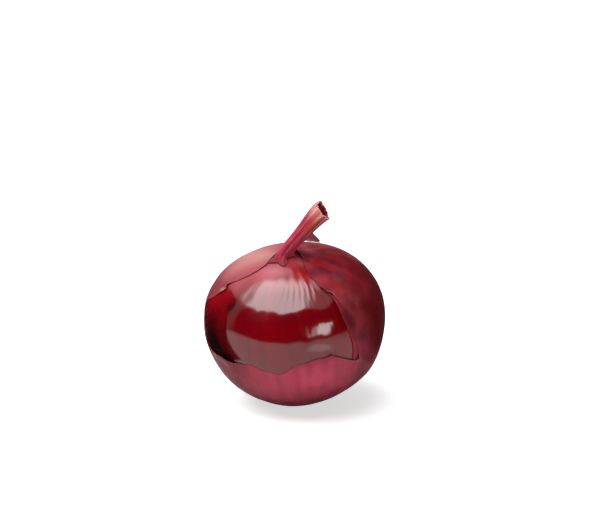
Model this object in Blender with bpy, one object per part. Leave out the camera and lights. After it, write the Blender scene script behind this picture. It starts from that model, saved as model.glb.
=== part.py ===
# A red onion: a glossy bulb in a torn dry outer skin, with a dried rolled neck and a root tuft.
# Metres, +Z up. The origin is the middle of the small flat spot that the onion rests on.
# The viewer's side is -Y. The onion's own axis runs from its root to its neck.
import bmesh
import bpy
import numpy as np
from mathutils import Vector

MM = 0.001
SEED = 11

# Outer shape, as the distance from the centre to the outer skin at an angle psi from the neck
MEAN_RADIUS = 34.95 * MM
FLATTENING = 2.4 * MM          # wider across the middle than from neck to root
TAPER = 1.6 * MM               # broad shoulders and a narrow root end
NECK_RISE = 1.0 * MM           # the shoulders climb a little to the neck
NECK_RISE_SPREAD = 10.0        # degrees
ROOT_DIMPLE = 2.0 * MM         # the root end is sunk in
ROOT_DIMPLE_SPREAD = 12.0      # degrees
# The onion isn't quite round: height of each set of lobes, how many, and phase
LOBES = ((0.25 * MM, 3, 0.6), (0.12 * MM, 7, 2.0))
# Fuller places on the lower sides: angle round the axis, angle from the neck, the two spreads, height
BULGES = ((78.0, 123.0, 50.0, 19.0, 2.0 * MM), (-70.0, 124.0, 50.0, 22.0, 0.9 * MM))

# How it lies
CENTRE = Vector((1.0 * MM, 2.0 * MM, 33.1 * MM))
LEAN_FORWARD = 10.0            # degrees, the neck leans to the viewer
LEAN_LEFT = 7.0                # degrees, and a little to the left

# Layers
SKIN_THICKNESS = 0.6 * MM
GAP = 0.4 * MM                 # clear space between one piece and the next
BULB_DEPTH = SKIN_THICKNESS + GAP

# Bulb
BULB_ROWS = 26
BULB_COLUMNS = 44

# Outer skin: a torn window about a point on the front left shoulder
WINDOW_THETA = -28.0           # degrees round the onion's axis, 0 facing the viewer, + to the right
WINDOW_PSI = 55.0              # degrees from the neck
# Corners of the tear: bearing about that point (0 to the right, 90 to the neck) and spread, degrees
TEAR_CORNERS = (
    (93, 68), (82, 62), (70, 54.5), (59, 47.5), (48, 45), (37, 45), (28.5, 48), (26.5, 51), (22, 50.5),
    (9, 56), (-1, 61.5), (-10, 68), (-17.5, 72), (-19.5, 67), (-20.5, 62), (-22, 56), (-33, 47),
    (-47, 41.5), (-64, 42.5), (-77, 37), (-93, 32.5), (-106, 35), (-131, 39.5), (-144, 47),
    (-157, 56), (-167, 63), (-176, 67), (-184, 62), (-189, 48), (-192, 41), (-203, 34), (-211, 36),
    (-223, 32.5), (-237, 32), (-248, 35.5), (-256, 42.5), (-257, 50), (-261, 66))
TEAR_COLUMNS = 84
TEAR_JAG = 0.7                 # degrees, seeded raggedness along the tear
SKIN_ROWS = 13
EDGE_ROWS = (0.0, 1.5, 4.0, 8.0)    # degrees behind the tear, closer rows at the edge
LIFT_REACH = 6.0               # degrees behind the tear where the skin still stands off
# Where the torn edge stands off the bulb: bearing, width in degrees, height
EDGE_LIFTS = (
    (-130, 16, 1.1 * MM), (-18, 6, 0.9 * MM), (84, 14, 1.5 * MM), (-205, 9, 0.9 * MM), (28, 6, 0.7 * MM))
EDGE_LIFT_ALL = 0.2 * MM
SKIN_LOWEST = -1.0 * MM         # the skin dips this far under the floor before the flat spot is cut
ROOT_HOLE_RADIUS = 5.5 * MM
ROOT_HOLE_SIDES = 28
ROOT_CUTTER_DEPTH = 20.0 * MM
FLOOR_CUTTER_SIDE = 60.0 * MM

# Neck: a rolled dry sheath along a curved path, given from the onion's centre
NECK_PATH = (
    (-5.2, -5.9, 30.2), (-3.4, -6.4, 33.7), (-0.6, -6.9, 36.8), (2.3, -7.5, 40.9),
    (5.7, -8.2, 45.1), (9.0, -9.0, 49.1), (11.9, -9.7, 51.8))
NECK_HALF_WIDTHS = (2.9, 2.9, 2.9, 3.0, 3.4, 4.0, 4.4)
NECK_HALF_DEPTHS = (2.9, 2.5, 2.1, 2.0, 2.2, 2.7, 3.0)
NECK_WALL = 0.7 * MM
NECK_ROWS = 15
NECK_COLUMNS = 24
SLIT_BEARING = -42.0           # degrees round the neck, the slit runs along its front right
SLIT_WIDTH = 26.0              # degrees left open
TIP_SLOPE = 0.09               # share of the length that the tip's front is lower by
TIP_TURN = 20.0                # degrees that the lowest place is turned from the front
TIP_RAGGED = 0.02              # share of the length that the tears take
PATH_STEP = 0.01               # share of the path used to find its direction
TONGUE_REACH = 4.9 * MM        # the sheath's foot runs forward on the bulb as a pointed tongue
TONGUE_WIDTH = 45.0            # degrees to either side
TONGUE_BEARING = -87.0         # degrees round the neck, to the front
TONGUE_POINT = 1.3             # over 1 makes the tongue's sides hollow
FOOT_RADIUS = 3.0 * MM
FOOT_ROWS = 5
FOOT_TOP = 0.10                # share of the path where the foot ends and the tube starts
KNEE_SHARE = 0.95              # the foot bends up at this share of its radius

# Root tuft
PLATE_RADIUS = 4.9 * MM
PLATE_THICKNESS = 1.1 * MM
PLATE_RINGS = 3
PLATE_COLUMNS = 24
RIM_THINNING = 0.45            # share of the thickness that is lost at the plate's rim
ROOT_COUNT = 32
ROOT_SPREAD = 3.9 * MM         # the outermost root starts this far from the axis
ROOT_RADIUS = 0.4 * MM
ROOT_THINNING = 0.45           # share of the radius that is lost at a root's tip
ROOT_LENGTH = 3.6 * MM
ROOT_LENGTHS = (0.7, 1.15)     # shortest and longest, as shares of that length
ROOT_DRIFT = 0.5 * MM          # how far a tip strays to either side
ROOT_RISE = 0.9 * MM           # how far a tip stands off the plate
ROOT_SINK = 0.8 * MM           # how deep a root starts inside the plate
ROOT_SWEEP = 1.2               # over 1 bends a root back late, under 1 lifts it early
ROOT_LIFTING = 0.7
ROOT_SIDES = 4
ROOT_RINGS = 4
CROSS_HINT = (0.31, 0.17, 0.94)     # any direction that no root runs along
GOLDEN_ANGLE = np.radians(137.508)
FLOOR_CLEARANCE = 0.12 * MM

SHARP_ANGLE = 50.0             # degrees, steeper edges aren't smoothed


def clear_scene():
    for thing in list(bpy.data.objects):
        bpy.data.objects.remove(thing, do_unlink=True)


def unit(vectors):
    return vectors / np.linalg.norm(vectors, axis=-1, keepdims=True)


def onion_axes():
    # Rows are the onion's own right, back and neck directions, in the world
    left, forward = np.radians([LEAN_LEFT, LEAN_FORWARD])
    neck = np.array([-np.sin(left), -np.sin(forward), 0.0])
    neck[2] = np.sqrt(1.0 - neck @ neck)
    back = unit(np.array([0.0, 1.0, 0.0]) - neck[1] * neck)
    return np.stack([np.cross(back, neck), back, neck])


AXES = onion_axes()
MIDDLE = np.array(CENTRE)


def direction(theta, psi):
    # Own-frame direction, theta round the axis from the viewer's side, psi from the neck, degrees
    theta, psi = np.radians(theta), np.radians(psi)
    return np.stack([np.sin(psi) * np.sin(theta), -np.sin(psi) * np.cos(theta), np.cos(psi)], axis=-1)


def bulge(theta, psi, at):
    # A smooth rise of the surface round one place, angles in degrees
    middle_theta, middle_psi, wide, high, height = at
    turn = (theta - middle_theta + 180.0) % 360.0 - 180.0
    return height * np.exp(-((turn / wide) ** 2) - ((psi - middle_psi) / high) ** 2)


def skin_radius(directions):
    # Flattened, tapered globe with faint lobes, bulges, a climb to the neck and a dimple at the root
    theta = np.arctan2(directions[..., 0], -directions[..., 1])
    psi = np.arccos(np.clip(directions[..., 2], -1.0, 1.0))
    degrees = np.degrees(psi)
    globe = MEAN_RADIUS - FLATTENING * np.cos(2 * psi) - TAPER * np.cos(3 * psi)
    lobes = sum(np.sin(psi) ** 2 * height * np.cos(count * theta + phase) for height, count, phase in LOBES)
    lobes = lobes + sum(bulge(np.degrees(theta), degrees, at) for at in BULGES)
    rise = NECK_RISE * np.exp(-((degrees / NECK_RISE_SPREAD) ** 2))
    dimple = ROOT_DIMPLE * np.exp(-(((180.0 - degrees) / ROOT_DIMPLE_SPREAD) ** 2))
    return globe + lobes + rise - dimple


def layer(directions, offset, floor=0.0):
    # World points at an offset from the outer skin's surface, pressed no lower than the floor
    radius = skin_radius(directions) + offset
    points = MIDDLE + (directions * radius[..., None]) @ AXES
    points[..., 2] = np.maximum(points[..., 2], floor)
    return points


def smooth(values, places):
    # A quartic fitted to evenly spaced hand-set values, read at places from 0 to 1
    knots = np.linspace(0.0, 1.0, len(values))
    return np.polyval(np.polyfit(knots, values, 4), places)


def material(name, red, green, blue, roughness):
    made = bpy.data.materials.new(name)
    made.use_nodes = True
    shader = made.node_tree.nodes["Principled BSDF"]
    shader.inputs["Base Color"].default_value = (red, green, blue, 1.0)
    shader.inputs["Roughness"].default_value = roughness
    shader.inputs["Metallic"].default_value = 0.0
    return made


def add_object(name, points, faces, finish):
    mesh = bpy.data.meshes.new(name)
    mesh.from_pydata([tuple(point) for point in points], [], faces)
    shape = bmesh.new()
    shape.from_mesh(mesh)
    bmesh.ops.recalc_face_normals(shape, faces=shape.faces)
    shape.to_mesh(mesh)
    shape.free()
    mesh.shade_smooth()
    mesh.set_sharp_from_angle(angle=np.radians(SHARP_ANGLE))
    made = bpy.data.objects.new(name, mesh)
    bpy.context.scene.collection.objects.link(made)
    if finish is not None:
        mesh.materials.append(finish)
    return made


def grid_triangles(rows, columns, start, closed, flip):
    # Two triangles a cell, split the same way on either face of a sheet
    faces = []
    across = columns if closed else columns - 1
    for row in range(rows - 1):
        for column in range(across):
            after = (column + 1) % columns
            a = start + row * columns + column
            b = start + row * columns + after
            c = start + (row + 1) * columns + after
            d = start + (row + 1) * columns + column
            pair = [(a, b, c), (a, c, d)]
            faces += [face[::-1] for face in pair] if flip else pair
    return faces


def fan(ring, tip, flip):
    # Triangles from a closed ring of points to one tip
    faces = [(ring[i], ring[(i + 1) % len(ring)], tip) for i in range(len(ring))]
    return [face[::-1] for face in faces] if flip else faces


def tear_edge(rng):
    # Bearing and spread along the tear, evenly spaced along its length, with a seeded raggedness
    corners = np.array(TEAR_CORNERS, float)
    closed = np.vstack([corners, corners[0] - [360.0, 0.0]])
    middle_spread = np.radians((closed[1:, 1] + closed[:-1, 1]) / 2)
    steps = np.hypot(np.diff(closed[:, 0]) * np.sin(middle_spread), np.diff(closed[:, 1]))
    along = np.concatenate([[0.0], np.cumsum(steps)])
    places = np.linspace(0.0, along[-1], TEAR_COLUMNS, endpoint=False)
    bearing = np.interp(places, along, closed[:, 0])
    spread = np.interp(places, along, closed[:, 1])
    return bearing, spread + TEAR_JAG * rng.uniform(-1.0, 1.0, TEAR_COLUMNS)


def window_directions(bearing, spread):
    # Polar directions about the middle of the torn window
    bearing, spread = np.radians(bearing)[..., None], np.radians(spread)[..., None]
    middle = direction(WINDOW_THETA, WINDOW_PSI)
    across = unit(np.cross([0.0, 0.0, 1.0], middle))
    to_neck = np.cross(middle, across)
    return np.cos(spread) * middle + np.sin(spread) * (np.cos(bearing) * across + np.sin(bearing) * to_neck)


def edge_lift(bearing):
    # How far the torn edge stands off the bulb at each bearing
    height = np.full(bearing.shape, EDGE_LIFT_ALL)
    for at, width, peak in EDGE_LIFTS:
        apart = (bearing - at + 180.0) % 360.0 - 180.0
        height = height + peak * np.exp(-((apart / width) ** 2))
    return height


def make_bulb(finish):
    # One closed globe, a skin's depth and a gap inside the outer skin's surface
    psi = np.linspace(0.0, 180.0, BULB_ROWS + 1)[1:-1]
    theta = np.linspace(-180.0, 180.0, BULB_COLUMNS, endpoint=False)
    psi, theta = np.meshgrid(psi, theta, indexing="ij")
    body = layer(direction(theta, psi), -BULB_DEPTH, BULB_DEPTH).reshape(-1, 3)
    poles = layer(direction(np.zeros(2), np.array([0.0, 180.0])), -BULB_DEPTH, BULB_DEPTH)
    rows = BULB_ROWS - 1
    first = list(range(BULB_COLUMNS))
    last = [(rows - 1) * BULB_COLUMNS + column for column in range(BULB_COLUMNS)]
    faces = grid_triangles(rows, BULB_COLUMNS, 0, True, True)
    faces += fan(first, len(body), False) + fan(last, len(body) + 1, True)
    return add_object("bulb", np.vstack([body, poles]), faces, finish)


def make_outer_skin(finish):
    # Rings run from the tear to the point opposite it, on an outer and an inner face
    rng = np.random.default_rng(SEED)
    edge_bearing, edge_spread = tear_edge(rng)
    even_bearing = edge_bearing[0] - np.arange(TEAR_COLUMNS) * 360.0 / TEAR_COLUMNS
    share = np.concatenate([np.zeros(len(EDGE_ROWS)), np.linspace(0.0, 1.0, SKIN_ROWS + 1)[1:-1]])
    fixed = np.concatenate([EDGE_ROWS, np.full(SKIN_ROWS - 1, EDGE_ROWS[-1])])
    far = 180.0 - edge_spread[None, :] - EDGE_ROWS[-1]
    behind = fixed[:, None] + share[:, None] * far
    spread = edge_spread[None, :] + behind
    ease = share[:, None] ** 2 * (3.0 - 2.0 * share[:, None])
    bearing = edge_bearing[None, :] * (1.0 - ease) + even_bearing[None, :] * ease
    lift = edge_lift(edge_bearing)[None, :] * np.exp(-((behind / LIFT_REACH) ** 2))
    directions = window_directions(bearing, spread)
    far_point = window_directions(np.zeros(1), np.full(1, 180.0))
    outer = layer(directions, lift, SKIN_LOWEST).reshape(-1, 3)
    inner = layer(directions, lift - SKIN_THICKNESS, SKIN_THICKNESS).reshape(-1, 3)
    points = np.vstack([outer, layer(far_point, 0.0), inner, layer(far_point, -SKIN_THICKNESS)])
    rows, columns = spread.shape
    half = rows * columns + 1
    last = [(rows - 1) * columns + column for column in range(columns)]
    faces = grid_triangles(rows, columns, 0, True, False) + fan(last, half - 1, False)
    faces += grid_triangles(rows, columns, half, True, True)
    faces += fan([half + point for point in last], 2 * half - 1, True)
    for column in range(columns):
        after = (column + 1) % columns
        faces.append((half + column, half + after, after))
        faces.append((half + column, after, column))
    return add_object("outer_skin", points, faces, finish)


def cut(target, cutter, name):
    cutter.hide_render = True
    cutter.display_type = "WIRE"
    boolean = target.modifiers.new(name, "BOOLEAN")
    boolean.operation = "DIFFERENCE"
    boolean.object = cutter


def cut_flat_spot(skin):
    # A block under the floor leaves one small flat spot under the skin
    bpy.ops.mesh.primitive_cube_add(size=FLOOR_CUTTER_SIDE, location=(0.0, 0.0, -FLOOR_CUTTER_SIDE / 2))
    block = bpy.context.object
    block.name = "floor_cutter"
    cut(skin, block, "flat spot")


def cut_root_hole(skin):
    # A short rod along the onion's axis opens the skin over the root
    down = Vector(-AXES[2])
    bpy.ops.mesh.primitive_cylinder_add(
        vertices=ROOT_HOLE_SIDES, radius=ROOT_HOLE_RADIUS, depth=ROOT_CUTTER_DEPTH,
        location=CENTRE + down * MEAN_RADIUS)
    rod = bpy.context.object
    rod.name = "root_hole_cutter"
    rod.rotation_euler = down.to_track_quat("Z", "Y").to_euler()
    cut(skin, rod, "root hole")


def foot_reach(bearing):
    # How far the sheath's foot runs out on the bulb, with a pointed tongue to the front
    apart = np.abs((bearing - TONGUE_BEARING + 180.0) % 360.0 - 180.0)
    return FOOT_RADIUS + TONGUE_REACH * np.clip(1.0 - apart / TONGUE_WIDTH, 0.0, 1.0) ** TONGUE_POINT


def neck_face(bearing, ends, inset, offset):
    # One face of the rolled sheath: a foot that lies on the bulb, then a tube along the path
    steps = np.linspace(0.0, 1.0, NECK_ROWS)
    places = FOOT_TOP + (ends[None, :] - FOOT_TOP) * steps[:, None]
    path = np.stack([smooth([p[i] for p in NECK_PATH], places) for i in range(3)], axis=-1) * MM
    ahead = places + PATH_STEP
    ahead = np.stack([smooth([p[i] for p in NECK_PATH], ahead) for i in range(3)], axis=-1) * MM
    along = unit(ahead - path)
    depth_way = unit(np.array([0.0, 1.0, 0.0]) - along * along[..., 1:2])
    width_way = np.cross(depth_way, along)
    turn = np.radians(bearing)[None, :]
    wide = (smooth(NECK_HALF_WIDTHS, places) * MM - inset) * np.cos(turn)
    deep = (smooth(NECK_HALF_DEPTHS, places) * MM - inset) * np.sin(turn)
    tube = MIDDLE + path + width_way * wide[..., None] + depth_way * deep[..., None]
    base = np.array(NECK_PATH[0]) * MM
    spokes = np.stack([np.cos(turn[0]), np.sin(turn[0]), np.zeros(len(bearing))], axis=-1)
    knee_reach = FOOT_RADIUS - inset
    rim = layer(unit((base + spokes * foot_reach(bearing)[:, None]) @ AXES.T), offset)
    knee = layer(unit((base + spokes * knee_reach * KNEE_SHARE) @ AXES.T), offset)
    bend = np.linspace(0.0, 1.0, FOOT_ROWS, endpoint=False)[:, None, None]
    foot = (1 - bend) ** 2 * rim + 2 * bend * (1 - bend) * knee + bend ** 2 * tube[0]
    return np.concatenate([foot, tube], axis=0)


def make_neck(finish):
    # The sheath is a sheet with a slit, so its two faces are joined round all four sides
    rng = np.random.default_rng(SEED + 1)
    first = SLIT_BEARING + SLIT_WIDTH / 2
    bearing = np.linspace(first, first + 360.0 - SLIT_WIDTH, NECK_COLUMNS)
    ends = 1.0 - TIP_SLOPE * (0.5 - 0.5 * np.sin(np.radians(bearing - TIP_TURN)))
    ends = ends - TIP_RAGGED * rng.uniform(0.0, 1.0, NECK_COLUMNS)
    outer = neck_face(bearing, ends, 0.0, NECK_WALL - SKIN_THICKNESS)
    inner = neck_face(bearing, ends, NECK_WALL, -SKIN_THICKNESS)
    rows = outer.shape[0]
    points = np.vstack([outer.reshape(-1, 3), inner.reshape(-1, 3)])
    half = rows * NECK_COLUMNS
    faces = grid_triangles(rows, NECK_COLUMNS, 0, False, False)
    faces += grid_triangles(rows, NECK_COLUMNS, half, False, True)
    loop = [(0, column) for column in range(NECK_COLUMNS)]
    loop += [(row, NECK_COLUMNS - 1) for row in range(1, rows)]
    loop += [(rows - 1, column) for column in range(NECK_COLUMNS - 2, -1, -1)]
    loop += [(row, 0) for row in range(rows - 2, 0, -1)]
    ring = [row * NECK_COLUMNS + column for row, column in loop]
    for here, after in zip(ring, ring[1:] + ring[:1]):
        faces.append((after, here, half + here))
        faces.append((after, half + here, half + after))
    return add_object("neck", points, faces, finish)


def root_place(right, back, offset):
    # World points over the root end, from distances right and back of the onion's axis
    toward = np.stack([right, back, -np.full_like(right, MEAN_RADIUS)], axis=-1)
    return layer(unit(toward), offset)


def make_plate(finish):
    # A corky disc in the dimple, thinner at its rim
    reach = PLATE_RADIUS * np.linspace(0.0, 1.0, PLATE_RINGS + 1)[1:]
    turn = np.linspace(0.0, 2 * np.pi, PLATE_COLUMNS, endpoint=False)
    reach, turn = np.meshgrid(reach, turn, indexing="ij")
    right, back = reach * np.cos(turn), reach * np.sin(turn)
    thickness = PLATE_THICKNESS * (1.0 - RIM_THINNING * (reach / PLATE_RADIUS) ** 4)
    inner = root_place(right, back, -SKIN_THICKNESS + 0.0 * reach).reshape(-1, 3)
    outer = root_place(right, back, thickness - SKIN_THICKNESS).reshape(-1, 3)
    zero = np.zeros(1)
    tips = [root_place(zero, zero, -SKIN_THICKNESS), root_place(zero, zero, PLATE_THICKNESS - SKIN_THICKNESS)]
    half = len(inner)
    faces = grid_triangles(PLATE_RINGS, PLATE_COLUMNS, 0, True, True)
    faces += grid_triangles(PLATE_RINGS, PLATE_COLUMNS, half, True, False)
    faces += fan(list(range(PLATE_COLUMNS)), 2 * half, False)
    faces += fan([half + column for column in range(PLATE_COLUMNS)], 2 * half + 1, True)
    rim = (PLATE_RINGS - 1) * PLATE_COLUMNS
    for column in range(PLATE_COLUMNS):
        here, after = rim + column, rim + (column + 1) % PLATE_COLUMNS
        faces.append((here, after, half + after))
        faces.append((here, half + after, half + here))
    return add_object("root_tuft", np.vstack([inner, outer] + tips), faces, finish)


def make_root(index, rng):
    # A short tapered root that starts inside the plate and is combed to the back
    far = ROOT_SPREAD * np.sqrt((index + 0.5) / ROOT_COUNT)
    turn = index * GOLDEN_ANGLE
    steps = np.linspace(0.0, 1.0, ROOT_RINGS)
    length = ROOT_LENGTH * rng.uniform(*ROOT_LENGTHS)
    drift = ROOT_DRIFT * rng.uniform(-1.0, 1.0)
    right = far * np.cos(turn) + drift * steps
    back = far * np.sin(turn) + length * steps ** ROOT_SWEEP
    start = PLATE_THICKNESS - SKIN_THICKNESS - ROOT_SINK
    height = start + (ROOT_SINK + ROOT_RISE) * steps ** ROOT_LIFTING
    line = root_place(right, back, height)
    line[:, 2] = np.maximum(line[:, 2], FLOOR_CLEARANCE + ROOT_RADIUS)
    along = unit(np.gradient(line, axis=0))
    side = unit(np.cross(along, CROSS_HINT))
    other = np.cross(along, side)
    around = np.linspace(0.0, 2 * np.pi, ROOT_SIDES, endpoint=False) + turn
    radius = ROOT_RADIUS * (1.0 - ROOT_THINNING * steps)
    circle = np.cos(around)[:, None] * side[:, None] + np.sin(around)[:, None] * other[:, None]
    points = line[:, None] + circle * radius[:, None, None]
    faces = grid_triangles(ROOT_RINGS, ROOT_SIDES, 0, True, False)
    last = (ROOT_RINGS - 1) * ROOT_SIDES
    faces.append(tuple(range(ROOT_SIDES))[::-1])
    faces.append(tuple(last + side_index for side_index in range(ROOT_SIDES)))
    return add_object("root_%02d" % index, points.reshape(-1, 3), faces, None)


def make_root_tuft(finish):
    # All roots are joined to the plate in one body by one union
    rng = np.random.default_rng(SEED + 2)
    plate = make_plate(finish)
    bunch = bpy.data.collections.new("roots")
    bpy.context.scene.collection.children.link(bunch)
    for index in range(ROOT_COUNT):
        root = make_root(index, rng)
        bpy.context.scene.collection.objects.unlink(root)
        bunch.objects.link(root)
    union = plate.modifiers.new("roots", "BOOLEAN")
    union.operation = "UNION"
    union.operand_type = "COLLECTION"
    union.collection = bunch
    union.solver = "EXACT"
    bpy.context.view_layer.objects.active = plate
    bpy.ops.object.modifier_apply(modifier=union.name)
    for root in list(bunch.objects):
        bpy.data.objects.remove(root, do_unlink=True)
    bpy.data.collections.remove(bunch)
    return plate


def main():
    clear_scene()
    make_bulb(material("glossy inner skin", 0.19, 0.006, 0.012, 0.16))
    skin = make_outer_skin(material("dry papery skin", 0.24, 0.035, 0.055, 0.5))
    cut_flat_spot(skin)
    cut_root_hole(skin)
    make_neck(material("dried neck sheath", 0.42, 0.07, 0.075, 0.6))
    make_root_tuft(material("corky root", 0.28, 0.13, 0.09, 0.85))


main()
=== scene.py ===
import bpy
import numpy as np
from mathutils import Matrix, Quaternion, Vector


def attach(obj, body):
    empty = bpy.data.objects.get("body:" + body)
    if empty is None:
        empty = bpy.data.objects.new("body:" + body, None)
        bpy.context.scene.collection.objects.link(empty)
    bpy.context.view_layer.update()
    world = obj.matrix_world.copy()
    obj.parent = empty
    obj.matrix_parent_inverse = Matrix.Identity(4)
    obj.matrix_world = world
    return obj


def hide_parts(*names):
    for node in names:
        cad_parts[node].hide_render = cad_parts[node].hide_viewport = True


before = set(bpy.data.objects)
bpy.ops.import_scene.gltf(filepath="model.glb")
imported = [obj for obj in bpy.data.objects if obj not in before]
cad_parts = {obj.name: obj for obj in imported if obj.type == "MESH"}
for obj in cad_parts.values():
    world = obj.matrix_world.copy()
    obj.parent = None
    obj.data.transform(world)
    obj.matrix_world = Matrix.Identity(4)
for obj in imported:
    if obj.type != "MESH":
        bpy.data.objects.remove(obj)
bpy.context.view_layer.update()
mm = 0.001
allRound = 1e9  # a spread so wide that a spot is the same all round the axis


# Colours, nodes and meshes

def colour(hexText):
    # sRGB hex to linear, by the standard curve
    parts = [int(hexText[i:i + 2], 16) / 255 for i in (1, 3, 5)]
    return [c / 12.92 if c <= 0.04045 else ((c + 0.055) / 1.055) ** 2.4 for c in parts] + [1.0]


def put(tree, kind, inputs=None, **settings):
    # Adds a shader node: settings are its own properties, inputs are values or sockets to link from
    made = tree.nodes.new("ShaderNode" + kind)
    for name, value in settings.items():
        setattr(made, name, value)
    for name, value in (inputs or {}).items():
        if isinstance(value, bpy.types.NodeSocket):
            tree.links.new(value, made.inputs[name])
        else:
            made.inputs[name].default_value = value
    return made


def newMaterial(name, **sockets):
    # A Principled material with these values on its own sockets
    made = bpy.data.materials.new(name)
    made.use_nodes = True
    shader = made.node_tree.nodes["Principled BSDF"]
    for socket, value in sockets.items():
        shader.inputs[socket.replace("_", " ")].default_value = value
    return made, made.node_tree, shader


def readMarks(tree, keys):
    # The sockets of the marks that a mesh carries, by name
    return {key: put(tree, "Attribute", attribute_name=key).outputs["Fac"] for key in keys}


def grainOf(tree):
    return put(tree, "Attribute", attribute_name="grain").outputs["Vector"]


def placeOf(tree, kind="Object"):
    return put(tree, "TexCoord").outputs[kind]


def noise(tree, place, scale, detail):
    return put(tree, "TexNoise", {"Vector": place, "Scale": scale, "Detail": detail}).outputs["Fac"]


def ramp(tree, value, source=(0.0, 1.0), target=(0.0, 1.0), curve="LINEAR"):
    # Carries a value from one range to another and holds it at the ends
    limits = {"From Min": source[0], "From Max": source[1], "To Min": target[0], "To Max": target[1]}
    return put(tree, "MapRange", {"Value": value, **limits}, interpolation_type=curve).outputs[0]


def maths(tree, operation, *values):
    return put(tree, "Math", dict(enumerate(values)), operation=operation).outputs[0]


def blend(tree, share, one, other):
    # One value, and the other where the share is 1
    return put(tree, "Mix", {0: share, 2: one, 3: other}).outputs[0]


def layered(tree, look, steps):
    # Lays one shade after another over a look, each by its own share
    for share, shade in steps:
        look = put(tree, "Mix", {0: share, 6: look, 7: colour(shade)}, data_type="RGBA").outputs[2]
    return look


def dress(tree, shader, look, height, distance, rough=None):
    # Gives the shader its colour, a bump of this height and, where it varies, its roughness
    bump = put(tree, "Bump", {"Height": height, "Strength": 1.0, "Distance": distance})
    tree.links.new(look, shader.inputs["Base Color"])
    tree.links.new(bump.outputs[0], shader.inputs["Normal"])
    if rough is not None:
        tree.links.new(rough, shader.inputs["Roughness"])


def gridFaces(rows, columns, closed):
    # A quad between each two neighbours of one row and the same two of the next
    wide = columns if closed else columns - 1
    row, column = np.meshgrid(np.arange(rows - 1), np.arange(wide), indexing="ij")
    after = (column + 1) % columns
    corners = [row * columns + column, row * columns + after, (row + 1) * columns + after,
               (row + 1) * columns + column]
    return np.stack(corners, axis=-1).reshape(-1, 4)


def fanFaces(ring, tip):
    # Triangles from a closed ring of points to one tip
    return np.stack([ring, np.roll(ring, -1), np.full(len(ring), tip)], axis=-1)


def addObject(name, data):
    made = bpy.data.objects.new(name, data)
    bpy.context.scene.collection.objects.link(made)
    return made


def addPiece(name, points, faces, attributes, finish, replaces=()):
    # A mesh in its place, from groups of faces, with its attributes, finish, body and the CAD nodes that it
    # replaces
    mesh = bpy.data.meshes.new(name)
    mesh.from_pydata(points.reshape(-1, 3).tolist(), [], [face for group in faces for face in group.tolist()])
    for key, values in attributes.items():
        wide = values.ndim == points.ndim
        layerOf = mesh.attributes.new(key, "FLOAT_VECTOR" if wide else "FLOAT", "POINT")
        layerOf.data.foreach_set("vector" if wide else "value", values.astype(np.float32).ravel())
    mesh.shade_smooth()
    mesh.materials.append(finish)
    piece = addObject(name, mesh)
    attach(piece, "root")
    if replaces:
        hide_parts(*replaces)
    print("piece", name, len(mesh.vertices), "points", len(mesh.polygons), "faces")
    return piece


def solidify(piece, thickness):
    # Gives a sheet its wall on the inner side, with the rim closed
    wall = piece.modifiers.new("wall", "SOLIDIFY")
    wall.thickness = thickness
    wall.offset = -1.0
    wall.use_even_offset = False


# The onion's own shape

onion = {
    "centre": (1.0 * mm, 2.0 * mm, 33.1 * mm),
    "leanForward": 10.0,  # degrees, towards the viewer
    "leanLeft": 7.0,
    "meanRadius": 34.95 * mm,
    "flattening": 2.4 * mm,
    "taper": 1.6 * mm,  # broad shoulders, narrow root end
    "neckRise": (1.0 * mm, 10.0),  # height and spread in degrees
    "rootDimple": (2.0 * mm, 12.0),
    "lobes": ((0.25 * mm, 3, 0.6), (0.12 * mm, 7, 2.0)),  # height, count, phase
    # Fuller places on the lower sides: theta, psi, the two spreads and height
    "bulges": ((78, 123, 50, 19, 2.0 * mm), (-70, 124, 50, 22, 0.9 * mm)),
}


def unit(vectors):
    return vectors / np.linalg.norm(vectors, axis=-1, keepdims=True)


def bell(value):
    # 1 at 0 and falling off to either side
    return np.exp(-(value ** 2))


def around360(bearing, at):
    # Degrees from one bearing to another, the short way round
    return (bearing - at + 180.0) % 360.0 - 180.0


def bells(bearing, table):
    # A sum of bells round a circle, each by bearing, spread and height
    return sum(height * bell(around360(bearing, at) / wide) for at, wide, height in table)


def onionAxes():
    # Rows are the onion's own right, back and neck directions
    left, forward = np.radians([onion["leanLeft"], onion["leanForward"]])
    neck = np.array([-np.sin(left), -np.sin(forward), 0.0])
    neck[2] = np.sqrt(1.0 - neck @ neck)
    back = unit(np.array([0.0, 1.0, 0.0]) - neck[1] * neck)
    return np.stack([np.cross(back, neck), back, neck])


axes = onionAxes()
middle = np.array(onion["centre"])


def direction(theta, psi):
    # theta goes round the onion's axis from the viewer's side to the right, psi down from the neck
    theta, psi = np.radians(theta), np.radians(psi)
    return np.stack([np.sin(psi) * np.sin(theta), -np.sin(psi) * np.cos(theta), np.cos(psi)], axis=-1)


def angles(directions):
    # The theta and psi, in degrees, of directions in the onion's own axes
    theta = np.degrees(np.arctan2(directions[..., 0], -directions[..., 1]))
    return theta, np.degrees(np.arccos(np.clip(directions[..., 2], -1.0, 1.0)))


def skinRadius(directions):
    # Mean radius less a cos 2psi flattening and a cos 3psi taper, plus lobes, bulges and a neck rise,
    # less a dimple at the root
    theta, psi = angles(directions)
    turn, down = np.radians(theta), np.radians(psi)
    radius = onion["meanRadius"] - onion["flattening"] * np.cos(2 * down) - onion["taper"] * np.cos(3 * down)
    for height, count, phase in onion["lobes"]:
        radius = radius + np.sin(down) ** 2 * height * np.cos(count * turn + phase)
    for *at, height in onion["bulges"]:
        radius = radius + height * spot(theta, psi, at)
    rise, riseSpread = onion["neckRise"]
    dimple, dimpleSpread = onion["rootDimple"]
    return radius + rise * bell(psi / riseSpread) - dimple * bell((180.0 - psi) / dimpleSpread)


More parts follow.
